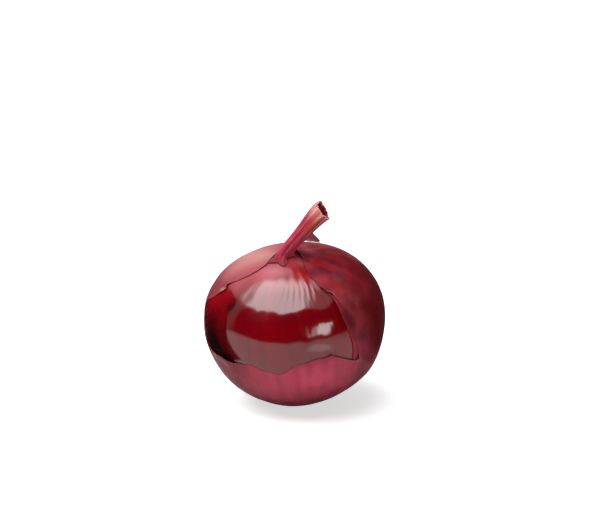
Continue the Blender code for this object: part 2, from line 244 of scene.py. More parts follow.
def layer(directions, offset, floor=0.0):
    # World points at an offset from the outer skin's surface, pressed flat where they reach the floor
    points = middle + (directions * (skinRadius(directions) + offset)[..., None]) @ axes
    points[..., 2] = np.maximum(points[..., 2], floor)
    return points


def waves(theta, psi, seed, count, around, along):
    # A sum of sines round the axis and down from the neck, seeded, from about -1 to 1
    rng = np.random.default_rng(seed)
    total = np.zeros(np.broadcast(theta, psi).shape)
    for _ in range(count):
        turns, slope, phase = rng.integers(*around), rng.uniform(*along), rng.uniform(0, 2 * np.pi)
        total = total + np.sin(turns * np.radians(theta) + slope * np.radians(psi) + phase)
    return total / np.sqrt(count)


def spot(theta, psi, at):
    # 1 at a point on the onion and falling away, at is theta, psi and the two spreads in degrees
    return np.exp(-((around360(theta, at[0]) / at[2]) ** 2) - ((psi - at[1]) / at[3]) ** 2)


def shareOf(table, theta, psi):
    # The sum of a table's spots, each by its own share, held between 0 and 1
    return np.clip(sum(share * spot(theta, psi, at) for share, *at in table), 0, 1)


def grain(theta, psi):
    # Places for vein patterns, in mm: fast across the meridians and slow along them
    reach, slow = onion["meanRadius"] / mm, 0.06
    turn = np.radians(theta)
    return np.stack([reach * np.cos(turn), reach * np.sin(turn), slow * reach * np.radians(psi)], axis=-1)


# Torn window, seen in polar directions about its middle: bearing 0 is right and 90 the neck

tear = {
    "middle": (-28.0, 55.0),
    # Bearing and spread in degrees
    "corners": (
        (93, 68), (82, 62), (70, 54.5), (59, 47.5), (48, 45), (37, 45), (28.5, 48), (26.5, 51), (22, 53),
        (14, 57), (6, 61), (-2, 65.5), (-6.5, 69), (-12.5, 74), (-17.5, 78.5), (-19.5, 75), (-20.5, 66),
        (-22, 56), (-33, 47), (-47, 41.5), (-64, 42.5), (-77, 37), (-93, 32.5), (-106, 35), (-131, 39.5),
        (-144, 47), (-157, 56), (-167, 63), (-176, 67), (-184, 62), (-189, 48), (-192, 41), (-203, 34),
        (-211, 36), (-223, 32.5), (-237, 32), (-248, 35.5), (-256, 42.5), (-257, 50), (-261, 66)),
    # The second skin's front edge
    "underEdge": (
        (31, 46), (27, 48.5), (23, 51), (15.5, 53.3), (6.6, 56.2), (-2.4, 61.7), (-10, 67.8), (-17, 72.5),
        (-21, 75)),
}


def tearFrame():
    # The directions of the window's middle, of its right and of the neck seen from there
    centre = direction(*tear["middle"])
    across = unit(np.cross([0.0, 0.0, 1.0], centre))
    return centre, across, np.cross(centre, across)


def windowDirections(bearing, spread):
    # The window's middle turned by the spread towards each bearing
    bearing, spread = np.radians(bearing)[..., None], np.radians(spread)[..., None]
    centre, across, toNeck = tearFrame()
    return np.cos(spread) * centre + np.sin(spread) * (np.cos(bearing) * across + np.sin(bearing) * toNeck)


def alongCorners(corners, count, closed, jag):
    # Bearing and spread at even steps along a line of corners, the spread made ragged
    line = np.array(corners, float)
    if closed:
        line = np.vstack([line, line[0] - [360.0, 0.0]])
    between = np.radians((line[1:, 1] + line[:-1, 1]) / 2)
    steps = np.hypot(np.diff(line[:, 0]) * np.sin(between), np.diff(line[:, 1]))
    along = np.concatenate([[0.0], np.cumsum(steps)])
    places = np.linspace(0.0, along[-1], count, endpoint=not closed)
    size, *kind = jag
    spread = np.interp(places, along, line[:, 1]) + size * ragged(count, *kind)
    return np.interp(places, along, line[:, 0]), spread


def insideTear(theta, psi):
    # Degrees from the tear, + inside the window
    centre, across, toNeck = tearFrame()
    toward = direction(theta, psi)
    bearing = np.degrees(np.arctan2(toward @ toNeck, toward @ across))
    spread = np.degrees(np.arccos(np.clip(toward @ centre, -1.0, 1.0)))
    corners = np.array(tear["corners"], float)[::-1]
    return np.interp(bearing, corners[:, 0], corners[:, 1], period=360.0) - spread


def ragged(count, seed, waveCount, low, high):
    # A seeded sum of sines along a line, from about -1 to 1, finer waves being smaller
    rng = np.random.default_rng(seed)
    place = np.linspace(0.0, 2 * np.pi, count, endpoint=False)
    turns = rng.integers(low, high, waveCount)
    size = (low / turns) ** 0.6
    phase = rng.uniform(0, 2 * np.pi, waveCount)
    return (size[:, None] * np.sin(turns[:, None] * place + phase[:, None])).sum(0) / np.sqrt(waveCount)


# Inner skin: the glossy living layer that shows in the torn window

innerSkin = {
    "depth": 0.28 * mm,  # under the outer skin's surface
    "window": (-85.0, 60.0, 400),  # theta from, to, and the columns there
    "restColumns": 100,
    "rows": 190,
    # Relief: height, seed, number of waves, their turns round the axis and their slopes down from the neck
    "swell": (0.09 * mm, 71, 9, (3, 11), (-8.0, 8.0)),
    "ripples": (0.06 * mm, 77, 8, (12, 30), (-20.0, 20.0)),
    "ribs": (0.004 * mm, 72, 12, (50, 120), (-1.5, 1.5)),
    "wrinkles": (0.07 * mm, 78, 2, (58, 68), (15.0, 20.0)),
    "calm": (-12.0, 16.0, 0.3),  # left of this theta, over this ramp, this share of ripples and ribs
    "wrinkleSpot": (22, 42.5, 22, 6.5),
    # Hollows: spot and depth
    "dents": ((-3, 49, 10, 7, 0.42 * mm), (-40, 46, 9, 6, 0.25 * mm), (-52, 54, 5, 4, 0.12 * mm),
              (-23, 57, 12, 6, 0.35 * mm)),
    # A soft line across the upper part: its ends, width, depth, waviness and how softly it ends
    "crease": ((-32.0, 29.0), (8.0, 28.0), 1.6, 0.005 * mm, 0.8, 60.0),
    "flatNear": 6.0,  # degrees from the tear over which the relief dies away
    "poleGrain": ((0, 0, 0), (0, 0, 110)),  # both poles are hidden
    "base": ("#560007", "#6e010c"),  # between the streaks and in them
    # In the order that they are laid on: the shade, then share, theta, psi and the two spreads, or nothing
    # where a formula gives the share
    "marks": {
        # Painted light: a brighter, clearer red where more light falls, strongest at the upper left
        "bright": ("#88000a", (
            (1.0, -78, 57, 16, 9), (0.35, -6, 68, 26, 7), (0.25, -8, 86, 30, 8), (0.7, 44, 84, 18, 13))),
        # Painted reflection: a pink sheen of the overhead light near the neck and on the upper left
        "blush": ("#9c2234", (
            (0.9, -40, 24, 38, 12), (0.5, -66, 40, 14, 8), (0.3, 15, 38, 25, 8), (0.8, 60, 9, 50, 8))),
        # Painted reflection: a dull pale-red film on the upper right near the neck
        "veil": ("#84353a", ((0.85, 45, 12, 40, 8),)),
        "ember": ("#901815", ((0.7, 16, 28, 17, 8.5),)),
        # Painted shade: near black on the lower left, in the hollow under the lifted skin by the neck and
        # along the tear
        "dusk": ("#150103", (
            (0.75, -66, 74, 13, 13), (0.9, -58, 86, 15, 9), (0.9, 112, 12, 30, 2.5), (0.7, -44, 89, 12, 3),
            (0.7, -50, 55, 6, 4.5))),
        # Painted highlight: a pale pink reflection of the overhead light below the seam at the upper left
        "pink": ("#a55a6a", ((0.6, -26, 19.5, 28, 7.5),)),
        # Painted shade: dark red in the wrinkles' grooves, where the relief dips
        "wrinkle": ("#3a0207", ()),
        "crease": ("#762036", ()),
    },
}


def creaseDepth(theta, psi):
    # 1 along a short line between two points on the onion and falling off beside it
    (thetaA, psiA), (thetaB, psiB), wide, _, wavy, soft = innerSkin["crease"]
    share = np.clip((theta - thetaA) / (thetaB - thetaA), 0, 1)
    line = psiA + (psiB - psiA) * share + wavy * np.sin(share * 2 * np.pi)
    inside = np.clip((theta - thetaA) * (thetaB - theta) / soft, 0, 1)
    return inside * bell((psi - line) / wide)


def makeInnerSkin(finish):
    # A closed globe under the dry skin, its radius changed by swell, ripples, ribs, wrinkles and hollows
    start, end, inWindow = innerSkin["window"]
    theta = np.concatenate([np.linspace(start, end, inWindow, endpoint=False),
                            np.linspace(end, start + 360.0, innerSkin["restColumns"], endpoint=False)])
    psi = np.linspace(0.0, 180.0, innerSkin["rows"] + 1)[1:-1]
    psi, theta = np.meshgrid(psi, theta, indexing="ij")
    calmAt, over, least = innerSkin["calm"]
    lively = np.clip((theta - calmAt) / over + 1.0, least, 1.0)
    relief = 0.0
    for key, share in (("swell", 1.0), ("ripples", lively), ("ribs", lively)):
        height, *kind = innerSkin[key]
        relief = relief + share * height * waves(theta, psi, *kind)
    height, *kind = innerSkin["wrinkles"]
    wrinkled = waves(theta, psi, *kind) * spot(theta, psi, innerSkin["wrinkleSpot"])
    relief = relief + height * wrinkled
    for *at, deepest in innerSkin["dents"]:
        relief = relief - deepest * spot(theta, psi, at)
    crease = creaseDepth(theta, psi)
    shown = np.clip(insideTear(theta, psi) / innerSkin["flatNear"], 0, 1)
    relief = (relief - innerSkin["crease"][3] * crease) * np.sin(np.radians(psi)) ** 0.5 * shown
    depth = innerSkin["depth"]
    body = layer(direction(theta, psi), relief - depth, depth)
    poles = layer(direction(np.zeros(2), np.array([0.0, 180.0])), -depth, depth)
    rows, columns = theta.shape
    last = (rows - 1) * columns + np.arange(columns)
    faces = [gridFaces(rows, columns, True)[:, ::-1], fanFaces(np.arange(columns), rows * columns),
             fanFaces(last, rows * columns + 1)[:, ::-1]]
    points = np.vstack([body.reshape(-1, 3), poles])
    marks = {key: shareOf(table, theta, psi) for key, (_, table) in innerSkin["marks"].items() if table}
    marks.update(wrinkle=np.clip(-wrinkled, 0, 1), crease=crease)
    marks = {key: np.append(values, [0.0, 0.0]) for key, values in marks.items()}
    marks["grain"] = np.vstack([grain(theta, psi).reshape(-1, 3), innerSkin["poleGrain"]])
    addPiece("innerSkin", points, faces, marks, finish, ["bulb"])


def livingSkin():
    # Fresh onion skin, smooth and waxy: a clear deep red, sharp reflections, faint streaks, dull wrinkles
    # with painted shade; its marks also paint light, highlights and reflections into the colour
    made, tree, shader = newMaterial("living onion skin", IOR=1.6)
    place, read = grainOf(tree), readMarks(tree, innerSkin["marks"])
    between, streaks = innerSkin["base"]
    streak = ramp(tree, noise(tree, place, 0.28, 2.0), (0.35, 0.7))  # 3.5 mm
    fine = noise(tree, place, 1.2, 3.0)  # 0.8 mm
    steps = [(read[key], shade) for key, (shade, _) in innerSkin["marks"].items()]
    look = layered(tree, colour(between), [(streak, streaks)] + steps)
    dress(tree, shader, look, fine, 0.008 * mm, ramp(tree, fine, target=(0.07, 0.16)))
    # Painted shade: the grooves of the wrinkles also reflect less
    tree.links.new(ramp(tree, read["wrinkle"], target=(0.5, 0.2)), shader.inputs["Specular IOR Level"])
    return made


# Dry skin: the torn papery outer layer

drySkin = {
    "thickness": 0.14 * mm,
    "columns": 520,
    "rows": 84,
    "jag": (0.55, 31, 26, 20, 190),  # degrees of raggedness, seed, waves, lowest and highest count
    "edgeCrowding": 2.2,  # rows are closer together near the tear
    "liftReach": 5.0,  # degrees behind the tear where it still stands off
    # Where it stands off the bulb: bearing, width and height
    "lifts": ((-130, 15, 1.2 * mm), (-18, 6, 0.8 * mm), (82, 15, 1.5 * mm), (-205, 8, 0.5 * mm),
              (28, 5, 0.7 * mm), (-72, 26, -0.18 * mm)),
    "rightLift": (4, 32, 0.2 * mm, 20),  # bearing, width, height, degrees behind the tear
    # Relief: height, seed, number of waves, their turns and slopes
    "folds": (0.07 * mm, 41, 10, (5, 26), (-3.0, 3.0)),
    "veins": (0.022 * mm, 42, 14, (60, 110), (-1.0, 1.0)),
    "rim": 0.45 * mm,  # width of the pale torn rim
    "paleAll": 0.02,
    "paleRims": ((26, 3, 0.4), (-18, 3, 0.6), (-138, 5, 0.35), (-203, 6, 0.8), (80, 8, 0.1)),
    # Hole round the root: radius, unevenness, how near a point moves on to its edge, pale rim and its share
    "rootHole": (5.4 * mm, 0.5 * mm, 0.45 * mm, 1.2 * mm, 0.6),
    "base": ("#4c0d17", "#8a2a36", "#33050e"),  # between the streaks, in them and in the veins
    # In the order that they are laid on: the shade, then share, theta, psi and the two spreads
    "marks": {
        "crimson": ("#7c0713", (
            (1, 60, 30, 14, 7), (1, 75, 26, 16, 6), (1, 50, 45, 8, 6), (1, 12, 103, 7, 7), (1, 64, 50, 9, 8),
            (1, 90, 34, 12, 7), (1, 55, 86, 5, 9), (1, -55, 100, 9, 8), (1, -10, 108, 6, 9),
            (1, 150, 70, 20, 15), (1, -140, 90, 16, 18))),
        # Painted shade: a darker red on the right side, round the back and low on the left, where less light
        # falls
        "deep": ("#5a0006", (
            (1, 64, 84, 12, 26), (1, 88, 70, 14, 36), (0.5, -60, 110, 16, 10), (1, 134, 28, 16, 5),
            (0.6, 175, 110, 30, 30))),
        "rosy": ("#8e3d48", ((1, -82, 26, 42, 24), (1, -150, 30, 45, 24))),
        # Pale skin: its own colour round the root end and on the scraps, a painted highlight along the upper
        # left shoulder
        "bleach": ("#ad7d76", (
            (0.65, -120, 20, 34, 15), (0.455, -128, 40, 26, 12), (0.195, -95, 36, 10, 14),
            (0.078, 56, 43, 7, 4.5), (0.0325, 50, 58, 12, 14), (0.6, 0, 180, allRound, 16))),
        "flush": ("#b8455a", ()),
        "edge": ("#c98f86", ()),
    },
    # The lighter lower front: psi where it starts, its ramp, psi where it fades, how far, theta and width
    "flush": ((78, 14), (98, 30), (3, 42)),
    "flushStreaks": (0.78, 0.08, 45, 8, (14, 60), (-3.0, 3.0)),  # mean, height and the waves
    "flushPatch": (0.45, 12, 102, 8, 6),
}


def makeDrySkin(finish):
    # Rings run from the tear to the point opposite the window, the root hole is left out
    rows, columns = drySkin["rows"], drySkin["columns"]
    edgeBearing, edgeSpread = alongCorners(tear["corners"], columns, True, drySkin["jag"])
    evenBearing = edgeBearing[0] - np.arange(columns) * 360.0 / columns
    share = np.linspace(0, 1, rows + 1)[:-1, None] ** drySkin["edgeCrowding"]
    behind = share * (180.0 - edgeSpread)
    ease = share ** 2 * (3.0 - 2.0 * share)
    bearing = edgeBearing * (1.0 - ease) + evenBearing * ease
    directions = windowDirections(bearing, edgeSpread + behind)
    theta, psi = angles(directions)
    offset = bells(edgeBearing, drySkin["lifts"]) * bell(behind / drySkin["liftReach"])
    *rightLift, reach = drySkin["rightLift"]
    offset = offset + bells(edgeBearing, [rightLift]) * bell(behind / reach)
    for height, *kind in (drySkin["folds"], drySkin["veins"]):
        offset = offset + height * waves(theta, psi, *kind) * np.sin(np.radians(psi))
    tip = layer(windowDirections(np.zeros(1), np.full(1, 180.0)), 0.0)
    last = (rows - 1) * columns + np.arange(columns)
    faces = [gridFaces(rows, columns, True), fanFaces(last, rows * columns)]
    points = np.vstack([layer(directions, offset).reshape(-1, 3), tip])
    # The skin stops at the root in a ragged ring: points near the ring move on to it, faces inside go
    reach, uneven, snap, rimWide, rimShare = drySkin["rootHole"]
    apart = points - middle
    down = apart @ -axes[2]
    sideways = apart + down[:, None] * axes[2]
    distance = np.linalg.norm(sideways, axis=1)
    around = np.arctan2(sideways @ axes[0], sideways @ axes[1])
    ring = reach + uneven * np.sin(9 * around) * np.sin(4 * around + 1.0)
    near = (down > 0) & (np.abs(distance - ring) < snap)
    gone = (down > 0) & (distance < ring) & ~near
    points[near] += (sideways / np.maximum(distance, 1e-9)[:, None] * (ring - distance)[:, None])[near]
    faces = [group[~gone[group].any(axis=1)] for group in faces]
    edge = bell(behind * np.radians(1.0) * onion["meanRadius"] / drySkin["rim"])
    edge = np.append(edge * (drySkin["paleAll"] + bells(edgeBearing, drySkin["paleRims"])), 0.0)
    edge = np.maximum(edge, rimShare * bell((distance - ring) / rimWide) * (down > 0))
    theta = np.append(theta, tear["middle"][0] + 180.0)
    psi = np.append(psi, 180.0 - tear["middle"][1])
    shares = {key: shareOf(table, theta, psi) for key, (_, table) in drySkin["marks"].items() if table}
    marks = skinMarks(theta, psi, edge, flush=flush(theta, psi), **shares)
    piece = addPiece("drySkin", points, faces, marks, finish, ["outer_skin"])
    solidify(piece, drySkin["thickness"])


def skinMarks(theta, psi, edge, **shares):
    # What the dried skin's finish reads at each point, 0 where a piece gives no share
    marks = {key: edge * 0.0 + shares.get(key, 0.0) for key in drySkin["marks"]}
    return {**marks, "edge": edge, "grain": grain(theta, psi)}


def flush(theta, psi):
    # Where it is lighter: the lower front, between the streaks
    (start, over), (end, fade), (front, width) = drySkin["flush"]
    mean, height, *kind = drySkin["flushStreaks"]
    low = np.clip((psi - start) / over, 0, 1) * bell(np.clip(psi - end, 0, None) / fade)
    across = np.exp(-((np.abs(theta - front) / width) ** 4))
    streaks = mean + height * waves(theta, 0.4 * psi, *kind)
    return np.clip(low * across * streaks + shareOf([drySkin["flushPatch"]], theta, psi), 0, 1)


def paperySkin():
    # Dried onion skin, a papery cuticle with parallel veins: satin, streaked down from neck to root, with
    # painted shade on the right and round the back and a painted highlight on the upper left shoulder
    made, tree, shader = newMaterial("dried onion skin", IOR=1.45, Specular_IOR_Level=0.09, Sheen_Weight=0.02,
                                     Sheen_Roughness=0.4)
    place, read = grainOf(tree), readMarks(tree, drySkin["marks"])
    between, streaks, veins = drySkin["base"]
    streak = ramp(tree, noise(tree, place, 0.22, 2.0), (0.34, 0.68))  # 4.5 mm
    fine = noise(tree, place, 0.75, 4.0)  # 1.3 mm
    vein = ramp(tree, fine, (0.52, 0.66), (0.0, 0.3))
    patch = ramp(tree, noise(tree, placeOf(tree), 160.0, 3.0), (0.36, 0.64))  # 6 mm
    blotch = blend(tree, 0.3, patch, streak)
    read["crimson"] = maths(tree, "MULTIPLY", read["crimson"], patch)
    steps = [(read[key], shade) for key, (shade, _) in drySkin["marks"].items()]
    look = layered(tree, colour(between), [(blotch, streaks), (vein, veins)] + steps)
    dress(tree, shader, look, fine, 0.05 * mm, ramp(tree, fine, target=(0.33, 0.5)))
    return made


# Second skin: a thin layer that shows as a narrow band along the window's right edge

secondSkin = {
    "columns": 150,
    "rows": 26,
    "crowding": 1.6,  # rows are closer together at the front edge
    "reach": 13.0,  # degrees that it runs back under the dry skin
    "offset": -0.08 * mm,
    "rise": (0.1 * mm, 1.2),  # what its front edge stands higher, and over how many degrees
    "rim": (0.08, 0.45),  # share of the pale rim and its width in degrees
    "crimson": 0.3,
    "flush": 0.9,
    "thickness": 0.12 * mm,
    "jag": (0.3, 61, 14, 8, 60),
}


def makeSecondSkin(finish):
    # A strip whose front edge follows its own line and whose back lies hidden under the dry skin
    rows, columns = secondSkin["rows"], secondSkin["columns"]
    bearing, spread = alongCorners(tear["underEdge"], columns, False, secondSkin["jag"])
    behind = secondSkin["reach"] * np.linspace(0, 1, rows)[:, None] ** secondSkin["crowding"]
    behind = behind * np.ones(columns)
    directions = windowDirections(bearing + 0 * behind, spread + behind)
    theta, psi = angles(directions)
    (rise, over), (pale, rim) = secondSkin["rise"], secondSkin["rim"]
    points = layer(directions, secondSkin["offset"] + rise * bell(behind / over))
    marks = skinMarks(theta, psi, pale * bell(behind / rim), crimson=secondSkin["crimson"],
                      flush=secondSkin["flush"] * flush(theta, psi))
    piece = addPiece("secondSkin", points, [gridFaces(rows, columns, False)], marks, finish)
    solidify(piece, secondSkin["thickness"])


# Neck: the dried sheath, rolled in a spiral along a curved path

neck = {
    # Places in mm from the centre, from foot to tip, and half the width and depth there in mm
    "path": ((-5.2, -5.9, 30.2), (-3.4, -6.4, 33.7), (-0.6, -6.9, 36.8), (2.3, -7.5, 40.9),
             (5.7, -8.2, 45.1), (9.0, -9.0, 49.1), (11.9, -9.7, 51.8)),
    "halfWidths": (2.9, 2.9, 2.9, 3.0, 3.4, 4.0, 4.4),
    "halfDepths": (2.9, 2.5, 2.1, 2.0, 2.2, 2.7, 3.0),
    "rows": 130,
    "columns": 200,
    "wall": 0.25 * mm,
    "slit": -42.0,  # degrees round the neck where the roll's outer margin ends
    "overlap": 34.0,  # degrees that its margins lie over each other
    "spiral": 0.2,  # share of the width that the inner margin is drawn in
    # Creases along it: count round the neck, height, twist and phase
    "creases": ((5, 0.055, 1.5, 0.4), (9, 0.045, -2.0, 2.1), (14, 0.028, 3.0, 4.0), (23, 0.016, -2.0, 0.3)),
    "tip": (0.055, 110.0),  # share of the length that the front is lower by, bearing of the high side
    "tears": (0.018, 81, 18, 9, 70),  # share of the length, seed, waves, lowest and highest count
    "footShare": 0.1,  # share of the path where the foot ends
    "footRadius": 3.0 * mm,
    "footRows": 26,
    "footJag": (0.06, 82, 12, 5, 60),
    "footLift": (0.16 * mm, 0.02 * mm),  # the outer margin's height over the bulb, and the rim's besides
    "kneeShare": 0.95,  # share of the foot's radius where it bends up
    "ramp": 0.5,  # share of the tongue's reach that rises as a ramp
    # Tongues at the foot: bearing, to either side, reach, point
    "tongues": ((-85, 42, 5.0 * mm, 1.2), (-158, 50, 3.4 * mm, 1.0)),
    "grainSize": (3.0, 2.4),  # of the fibres' places, round the neck and along it
    # What follows is down from the tip or up from the foot as a share of the length
    "tipRim": (0.75, 0.0256),  # share of pale and how far down
    "marginRim": (0.9, 0.022, 0.42, 0.3),  # share, width as a share of the turn, start and ramp
    "paleFade": (0.056, 0.12),  # where the pale lobes start to fade and how far
    "paleAll": 0.15,
    "paleLobes": ((-135, 28, 0.9), (-70, 16, 0.5)),  # bearing, spread and share
    "ember": (-72, 42, 0.256, 0.144),  # the orange patch: bearing, spread, how far down, spread
    # Painted shade where the sheath's foot meets the bulb and along the inner margin's fold
    "darkFoot": (0.9, 0.04, 0.06, 3.0 * mm),  # share, how far up, how much more on a tongue of this reach
    "darkFold": (0.6, 0.06),  # share along the inner margin, width as a share of the turn
    # Shades: between streaks, streaks, threads, ember, pale lobes, torn edges and the painted shade at the
    # foot and the fold
    "shades": ("#98273b", "#c24159", "#641320", "#b43c2e", "#e8a097", "#dfa9a0", "#620a1b"),
    # The inner face: darker, deeper copies of the same shades, painted shade inside the tube
    "lining": ("#840818", "#a20e22", "#500410", "#8a0e12", "#9c1422", "#c88078", "#500410"),
}


def smooth(values, places):
    # A quartic through given values at even places from 0 to 1
    knots = np.linspace(0, 1, len(values))
    return np.polyval(np.polyfit(knots, np.asarray(values, float), 4), places)


def neckTube(bearing, places, shrink):
    # An ellipse carried along the path, its radius creased lengthwise, shrink is a share of its size
    path, ahead = [np.stack([smooth(line, at) for line in zip(*neck["path"])], axis=-1) * mm
                   for at in (places, places + 0.01)]
    along = unit(ahead - path)
    depthWay = unit(np.array([0.0, 1.0, 0.0]) - along * along[..., 1:2])
    widthWay = np.cross(depthWay, along)
    turn = np.radians(bearing)
    fold = 1.0
    for count, height, twist, phase in neck["creases"]:
        fold = fold + height * (0.5 + places) * np.sin(count * turn + twist * places + phase)
    wide = smooth(neck["halfWidths"], places) * mm * (1.0 - shrink) * fold * np.cos(turn)
    deep = smooth(neck["halfDepths"], places) * mm * (1.0 - shrink) * fold * np.sin(turn)
    return middle + path + widthWay * wide[..., None] + depthWay * deep[..., None]


def makeNeck(finish, lining):
    # A foot that lies on the bulb bends up into the tube, which ends in a torn tip
    count = neck["columns"]
    turn = np.linspace(0, 1, count)
    bearing = neck["slit"] + turn * (360.0 + neck["overlap"])
    lower, highAt = neck["tip"]
    size, *kind = neck["tears"]
    ends = 1.0 - lower * (0.5 - 0.5 * np.cos(np.radians(bearing - highAt)))
    ends = ends - size * np.abs(ragged(count, *kind))
    steps = np.linspace(0, 1, neck["rows"])[:, None]
    places = neck["footShare"] + (ends - neck["footShare"]) * steps
    shrink = neck["spiral"] * turn + 0 * places
    tube = neckTube(bearing + 0 * places, places, shrink)
    base = np.array(neck["path"][0]) * mm
    spokes = np.stack([np.cos(np.radians(bearing)), np.sin(np.radians(bearing)), 0 * bearing], axis=-1)
    tongue = sum(far * np.clip(1.0 - np.abs(around360(bearing, at)) / wide, 0, 1) ** point
                 for at, wide, far, point in neck["tongues"])
    size, *kind = neck["footJag"]
    radius = neck["footRadius"]
    reach = (radius + tongue) * (1.0 + size * ragged(count, *kind))
    inside = radius * neck["kneeShare"] * (1.0 - shrink[0]) + neck["ramp"] * (reach - radius)
    marginLift, rimLift = neck["footLift"]
    rim, knee = [layer(unit((base + spokes * far[:, None]) @ axes.T), marginLift * (1.0 - turn) + more)
                 for far, more in ((reach, rimLift), (inside, 0.0))]
    bend = np.linspace(0, 1, neck["footRows"], endpoint=False)[:, None, None]
    foot = (1 - bend) ** 2 * rim + 2 * bend * (1 - bend) * knee + bend ** 2 * tube[0]
    points = np.concatenate([foot, tube])
    share = np.concatenate([neck["footShare"] * bend[:, 0] * np.ones(count), places])
    grainWide, grainLong = neck["grainSize"]
    marks = neckMarks(turn, bearing, tongue, share, ends - share)
    marks["grain"] = grainWide * spokes + share[..., None] * np.array([0.0, 0.0, grainLong])
    faces = [gridFaces(*share.shape, False)]
    piece = addPiece("neckSheath", points, faces, marks, finish, ["neck"])
    # The inner face takes the lining, a darker copy of the sheath's finish that paints the shade inside the
    # tube
    piece.data.materials.append(lining)
    solidify(piece, neck["wall"])
    piece.modifiers["wall"].material_offset = 1


def neckMarks(turn, bearing, tongue, share, fromTip):
    # Shares of ember, pale, edge and dark, each a bell along the neck, round it or both; dark is painted
    # shade at the foot and along the fold
    most, wide = neck["tipRim"]
    edge = most * bell(fromTip / wide)
    most, wide, start, over = neck["marginRim"]
    edge = np.maximum(edge, most * bell(turn / wide) * np.clip((share - start) / over, 0, 1))
    start, over = neck["paleFade"]
    lobes = np.clip(neck["paleAll"] + bells(bearing, neck["paleLobes"]), 0, 1)
    pale = bell(np.clip(fromTip - start, 0, None) / over) * lobes
    at, wide, below, over = neck["ember"]
    ember = bell((fromTip - below) / over) * bell(around360(bearing, at) / wide)
    most, low, more, full = neck["darkFoot"]
    dark = most * bell(share / (low + more * np.clip(tongue / full, 0, 1)))
    most, wide = neck["darkFold"]
    dark = np.maximum(dark, most * bell((1.0 - turn) / wide))
    return {"ember": ember, "pale": pale, "edge": edge, "dark": dark}


def sheathMaterial(name, shades):
    # A dried leaf sheath, shrunk lengthwise: matt, fibrous, pink red with straw-pale torn ends and painted
    # shade at its foot and fold
    made, tree, shader = newMaterial(name, IOR=1.45, Specular_IOR_Level=0.15, Sheen_Weight=0.03)
    place, read = grainOf(tree), readMarks(tree, ("ember", "pale", "edge", "dark"))
    between, streaks, threads, *others = shades
    streak = ramp(tree, noise(tree, place, 0.8, 2.0), (0.35, 0.65))
    fine = noise(tree, place, 2.6, 4.0)
    thread = ramp(tree, fine, (0.45, 0.65), (0.0, 0.5))
    steps = [(streak, streaks), (thread, threads)] + list(zip(read.values(), others))
    look = layered(tree, colour(between), steps)
    dress(tree, shader, look, fine, 0.12 * mm, ramp(tree, fine, target=(0.42, 0.62)))
    return made


# Scraps: small torn pieces of the dry skin round the neck and along the tear

scraps = {
    # Four corners in mm from the centre, going round, with the torn pale side from the second to the third,
    # then bulge in mm, seed, rosy and pale share
    "collarFlap": (((5.9, -6.0, 42.4), (2.6, -5.4, 37.6), (10.3, 0.6, 34.7), (10.6, 0.2, 35.9)),
                   0.7, 91, 0.8, 0.35),
    "neckFleck": (((-2.9, -5.4, 32.0), (-2.8, -7.0, 30.8), (-0.9, -6.8, 30.8), (-1.0, -5.3, 31.9)),
                  0.2, 92, 1.0, 0.2),
    "seamFlake": (((-30.1, -11.5, 19.4), (-30.6, -12.0, 18.1), (-28.2, -13.5, 19.5), (-27.8, -12.9, 20.6)),
                  0.3, 93, 1.0, 0.3),
}
scrapSize = (60, 24, 0.16 * mm)  # columns, rows and thickness
scrapJag = (0.16, 9, 3, 30)  # share of the scrap that tears take, waves, lowest and highest count
scrapRim = (0.8, 0.2)  # share and spread of the pale side


def makeScrap(name, corners, bulge, seed, pink, pale, finish):
    # A bilinear patch between four corners, swelling in the middle and waved, torn along one side
    columns, rows, thickness = scrapSize
    first, second, third, fourth = np.array(corners)[:, None, None, :] * mm
    across = np.linspace(0, 1, columns)[None, :, None]
    size, *kind = scrapJag
    low = 1.0 - size * np.abs(ragged(columns, seed, *kind))[None, :, None]
    down = np.linspace(0, 1, rows)[:, None, None] * low
    left, right = first + down * (second - first), fourth + down * (third - fourth)
    points = left + across * (right - left)
    normal = unit(np.cross(second - first, fourth - first))
    swell = np.sin(np.pi * down) * (0.4 + 0.6 * across) + 0.25 * np.sin(6.0 * across + 3.0 * down)
    points = points - normal * swell * bulge * mm
    theta, psi = angles(unit(points) @ axes.T)
    most, wide = scrapRim
    marks = skinMarks(theta, psi, most * bell((low - down) / wide)[..., 0], rosy=pink, bleach=pale)
    piece = addPiece(name, middle + points, [gridFaces(rows, columns, False)], marks, finish)
    solidify(piece, thickness)


# Roots: a corky plate with short dried roots

roots = {
    "plateRadius": 4.9 * mm,
    "plateThickness": 1.0 * mm,
    "plateSink": 0.5 * mm,  # its underside lies this deep under the skin's surface
    "plateRings": 40,
    "plateColumns": 96,
    "plateLobes": (7, 0.05),  # count round the rim and height as a share of the radius
    "plateRough": 0.12 * mm,
    "count": 120,
    "spread": 0.84,  # share of the plate's radius that bears roots
    "turn": 137.508,  # degrees from one root to the next
    "radius": (0.22 * mm, 0.7, 1.2),  # and the least and greatest share of it
    "length": (3.8 * mm, 0.5, 1.2),
    "drift": 1.1 * mm,  # sideways at the end, at most
    "curl": 0.5 * mm,
    "rise": (0.2 * mm, 1.0 * mm),  # of the end over the plate, least and greatest
    "sides": 6,
    "rings": 9,
    "seed": 13,
    "sink": 0.5 * mm,
    "clearance": 0.12 * mm,  # over the floor
}


def rootPlace(right, back, offset):
    # World points over the root end, from distances right and back of the onion's axis
    toward = np.stack([right, back, -np.full_like(right, onion["meanRadius"])], axis=-1)
    return layer(unit(toward), offset)


